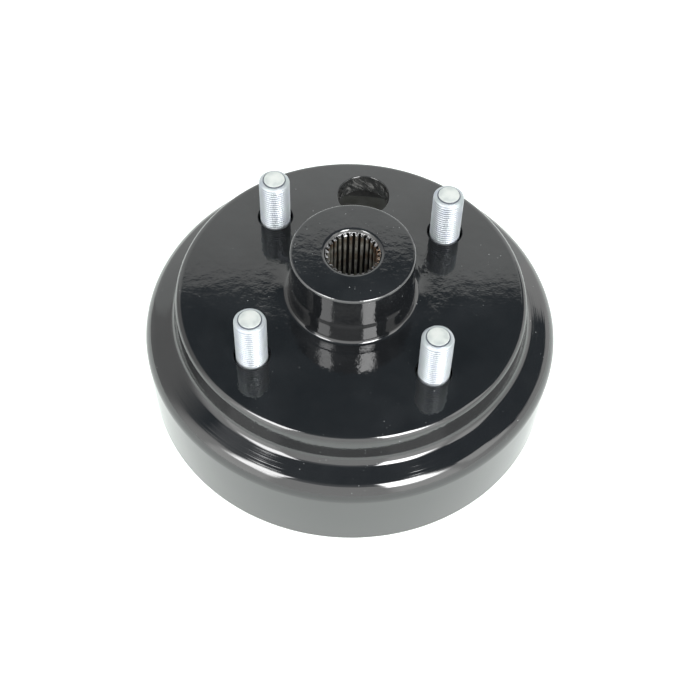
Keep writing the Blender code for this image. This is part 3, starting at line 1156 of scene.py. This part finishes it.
def room_direction(tree):
    """The turn and the rise, in degrees, that a ray out of the scene looks at."""
    where = add(tree, "ShaderNodeTexCoord").outputs["Generated"]
    rotated = add(tree, "ShaderNodeVectorRotate", {"Vector": where, "Angle": -CAMERA_TURN},
                  rotation_type="Z_AXIS")
    split = add(tree, "ShaderNodeSeparateXYZ", {"Vector": rotated.outputs["Vector"]})
    to_degrees = math.degrees(1)
    rise = multiply(tree, maths(tree, "ARCSINE", split.outputs["Z"]), to_degrees)
    forward = multiply(tree, split.outputs["Y"], -1.0)
    turn = multiply(tree, maths(tree, "ARCTAN2", split.outputs["X"], forward), to_degrees)
    return turn, rise


def wall_radiance(tree, turn, rise, to_right):
    """How bright the walls are: the two sides, the front and the bright panels."""
    sides = blend(tree, to_right, LEFT_RADIANCE, RIGHT_RADIANCE)
    level = blend(tree, window(tree, turn, *FRONT_TURN, FRONT_TURN_BLUR), sides, FRONT_RADIANCE)
    for start, end, low_rise, high_rise in PANELS:
        panel = multiply(tree, window(tree, turn, start, end, PANEL_BLUR),
                         window(tree, rise, low_rise, high_rise, PANEL_BLUR))
        level = blend(tree, panel, level, PANEL_RADIANCE)
    return level


def wall_share(tree, turn, rise, to_right, front):
    """1 below the tops of the walls and 0 above them."""
    top = blend(tree, to_right, WALL_TOP_LEFT, WALL_TOP_RIGHT)
    top = blend(tree, step_up(tree, turn, *TOP_BEHIND_TURN), WALL_TOP_BEHIND, top)
    near_right = window(tree, turn, *TOP_NEAR_RIGHT_TURN, TOP_TURN_BLUR)
    top = blend(tree, near_right, top, WALL_TOP_NEAR_RIGHT)
    top = blend(tree, front, top, WALL_TOP_FRONT)
    blur = blend(tree, to_right, LEFT_TOP_BLUR, RIGHT_TOP_BLUR)
    blur = blend(tree, front, blur, FRONT_TOP_BLUR)
    over = maths(tree, "DIVIDE", maths(tree, "SUBTRACT", rise, top), blur)
    return maths(tree, "SUBTRACT", 1.0, step_up(tree, over, -1.0, 1.0))


def mix_light(tree, share, first, second):
    """A light that goes from first to second as share goes from 0 to 1, above 1 as well."""
    item = add(tree, "ShaderNodeMix", {"Factor": share, 4: first, 5: second},
               data_type="VECTOR")
    return item.outputs[1]


def add_softbox(tree, turn, rise, glow, softbox):
    """The room's light with one softbox added."""
    middle, middle_rise, wide, tall, radiance = softbox
    outward = multiply(tree, turn, math.copysign(1.0, middle))
    inner = abs(middle) - wide / 2
    outer = abs(middle) + wide / 2 - SOFTBOX_OUTER_BLUR / 2
    enter = step_up(tree, outward, inner - SOFTBOX_INNER_BLUR, inner + SOFTBOX_INNER_BLUR)
    leave = step_up(tree, outward, outer - SOFTBOX_OUTER_BLUR, outer + SOFTBOX_OUTER_BLUR)
    across = multiply(tree, enter, maths(tree, "SUBTRACT", 1.0, leave))
    upright = window(tree, rise, middle_rise - tall / 2, middle_rise + tall / 2,
                     SOFTBOX_TOP_BLUR)
    share = multiply(tree, across, upright)
    return mix_light(tree, share, glow, (radiance, radiance, radiance))


def room_light(tree):
    """The light of the whole room: walls and panels, a dark top and the softboxes."""
    turn, rise = room_direction(tree)
    to_right = step_up(tree, turn, *LEFT_TO_RIGHT)
    front = window(tree, turn, *TOP_FRONT_TURN, TOP_TURN_BLUR)
    level = wall_radiance(tree, turn, rise, to_right)
    walls = add(tree, "ShaderNodeVectorMath", {0: WALL_COLOUR, "Scale": level},
                operation="SCALE").outputs["Vector"]
    fade = maths(tree, "SUBTRACT", 1.0, step_up(tree, rise, WALL_TOP_FRONT, HALO_TOP_FRONT))
    dark = mix_light(tree, multiply(tree, front, fade), ROOM_COLOUR, HALO_COLOUR)
    glow = mix_light(tree, wall_share(tree, turn, rise, to_right, front), dark, walls)
    for softbox in SOFTBOXES:
        glow = add_softbox(tree, turn, rise, glow, softbox)
    return glow


def make_world():
    """The room that lights the object. The camera itself sees plain white behind it."""
    world = bpy.data.worlds.new("studio")
    bpy.context.scene.world = world
    world.use_nodes = True
    tree = world.node_tree
    tree.nodes.clear()
    studio = add(tree, "ShaderNodeBackground", {"Color": room_light(tree), "Strength": 1.0})
    plain = add(tree, "ShaderNodeBackground", {"Color": (1, 1, 1, 1), "Strength": 1.0})
    seen = add(tree, "ShaderNodeLightPath").outputs["Is Camera Ray"]
    both = add(tree, "ShaderNodeMixShader",
               {0: seen, 1: studio.outputs["Background"], 2: plain.outputs["Background"]})
    add(tree, "ShaderNodeOutputWorld", {"Surface": both.outputs["Shader"]})


def make_camera():
    """The camera, where the photograph was taken from."""
    data = bpy.data.cameras.new("camera")
    data.lens = CAMERA_LENS
    data.sensor_width = 36.0
    data.clip_start = 0.01
    data.clip_end = 100.0
    sine = math.sin(CAMERA_HEIGHT_ANGLE)
    cosine = math.cos(CAMERA_HEIGHT_ANGLE)
    turned = Matrix.Rotation(CAMERA_TURN, 3, "Z")
    right = turned @ Vector((1, 0, 0))
    up = turned @ Vector((0, sine, cosine))
    back = turned @ Vector((0, -cosine, sine))
    side = right * math.cos(CAMERA_ROLL) + up * math.sin(CAMERA_ROLL)
    top = up * math.cos(CAMERA_ROLL) - right * math.sin(CAMERA_ROLL)
    offset = side * CAMERA_AIM_RIGHT + top * CAMERA_AIM_UP + back * CAMERA_DISTANCE
    position = Vector((0, 0, FLANGE_FACE * MM)) + MM * offset
    item = bpy.data.objects.new("camera", data)
    bpy.context.scene.collection.objects.link(item)
    rotation = Matrix((side, top, back)).transposed().to_4x4()
    item.matrix_world = Matrix.Translation(position) @ rotation
    bpy.context.scene.camera = item


def main():
    """Builds the room, the camera and the object's five pieces."""
    make_camera()
    make_floor()
    make_board()
    make_world()
    bpy.context.scene.view_settings.view_transform = "Standard"
    make_casting({"paint": black_paint(), "inside": inside_paint(), "iron": turned_iron(),
                  "teeth": spline_steel(), "lip": worn_lip(), "hole": hole_paint()})
    make_studs(bright_zinc(), stud_end_zinc())


main()
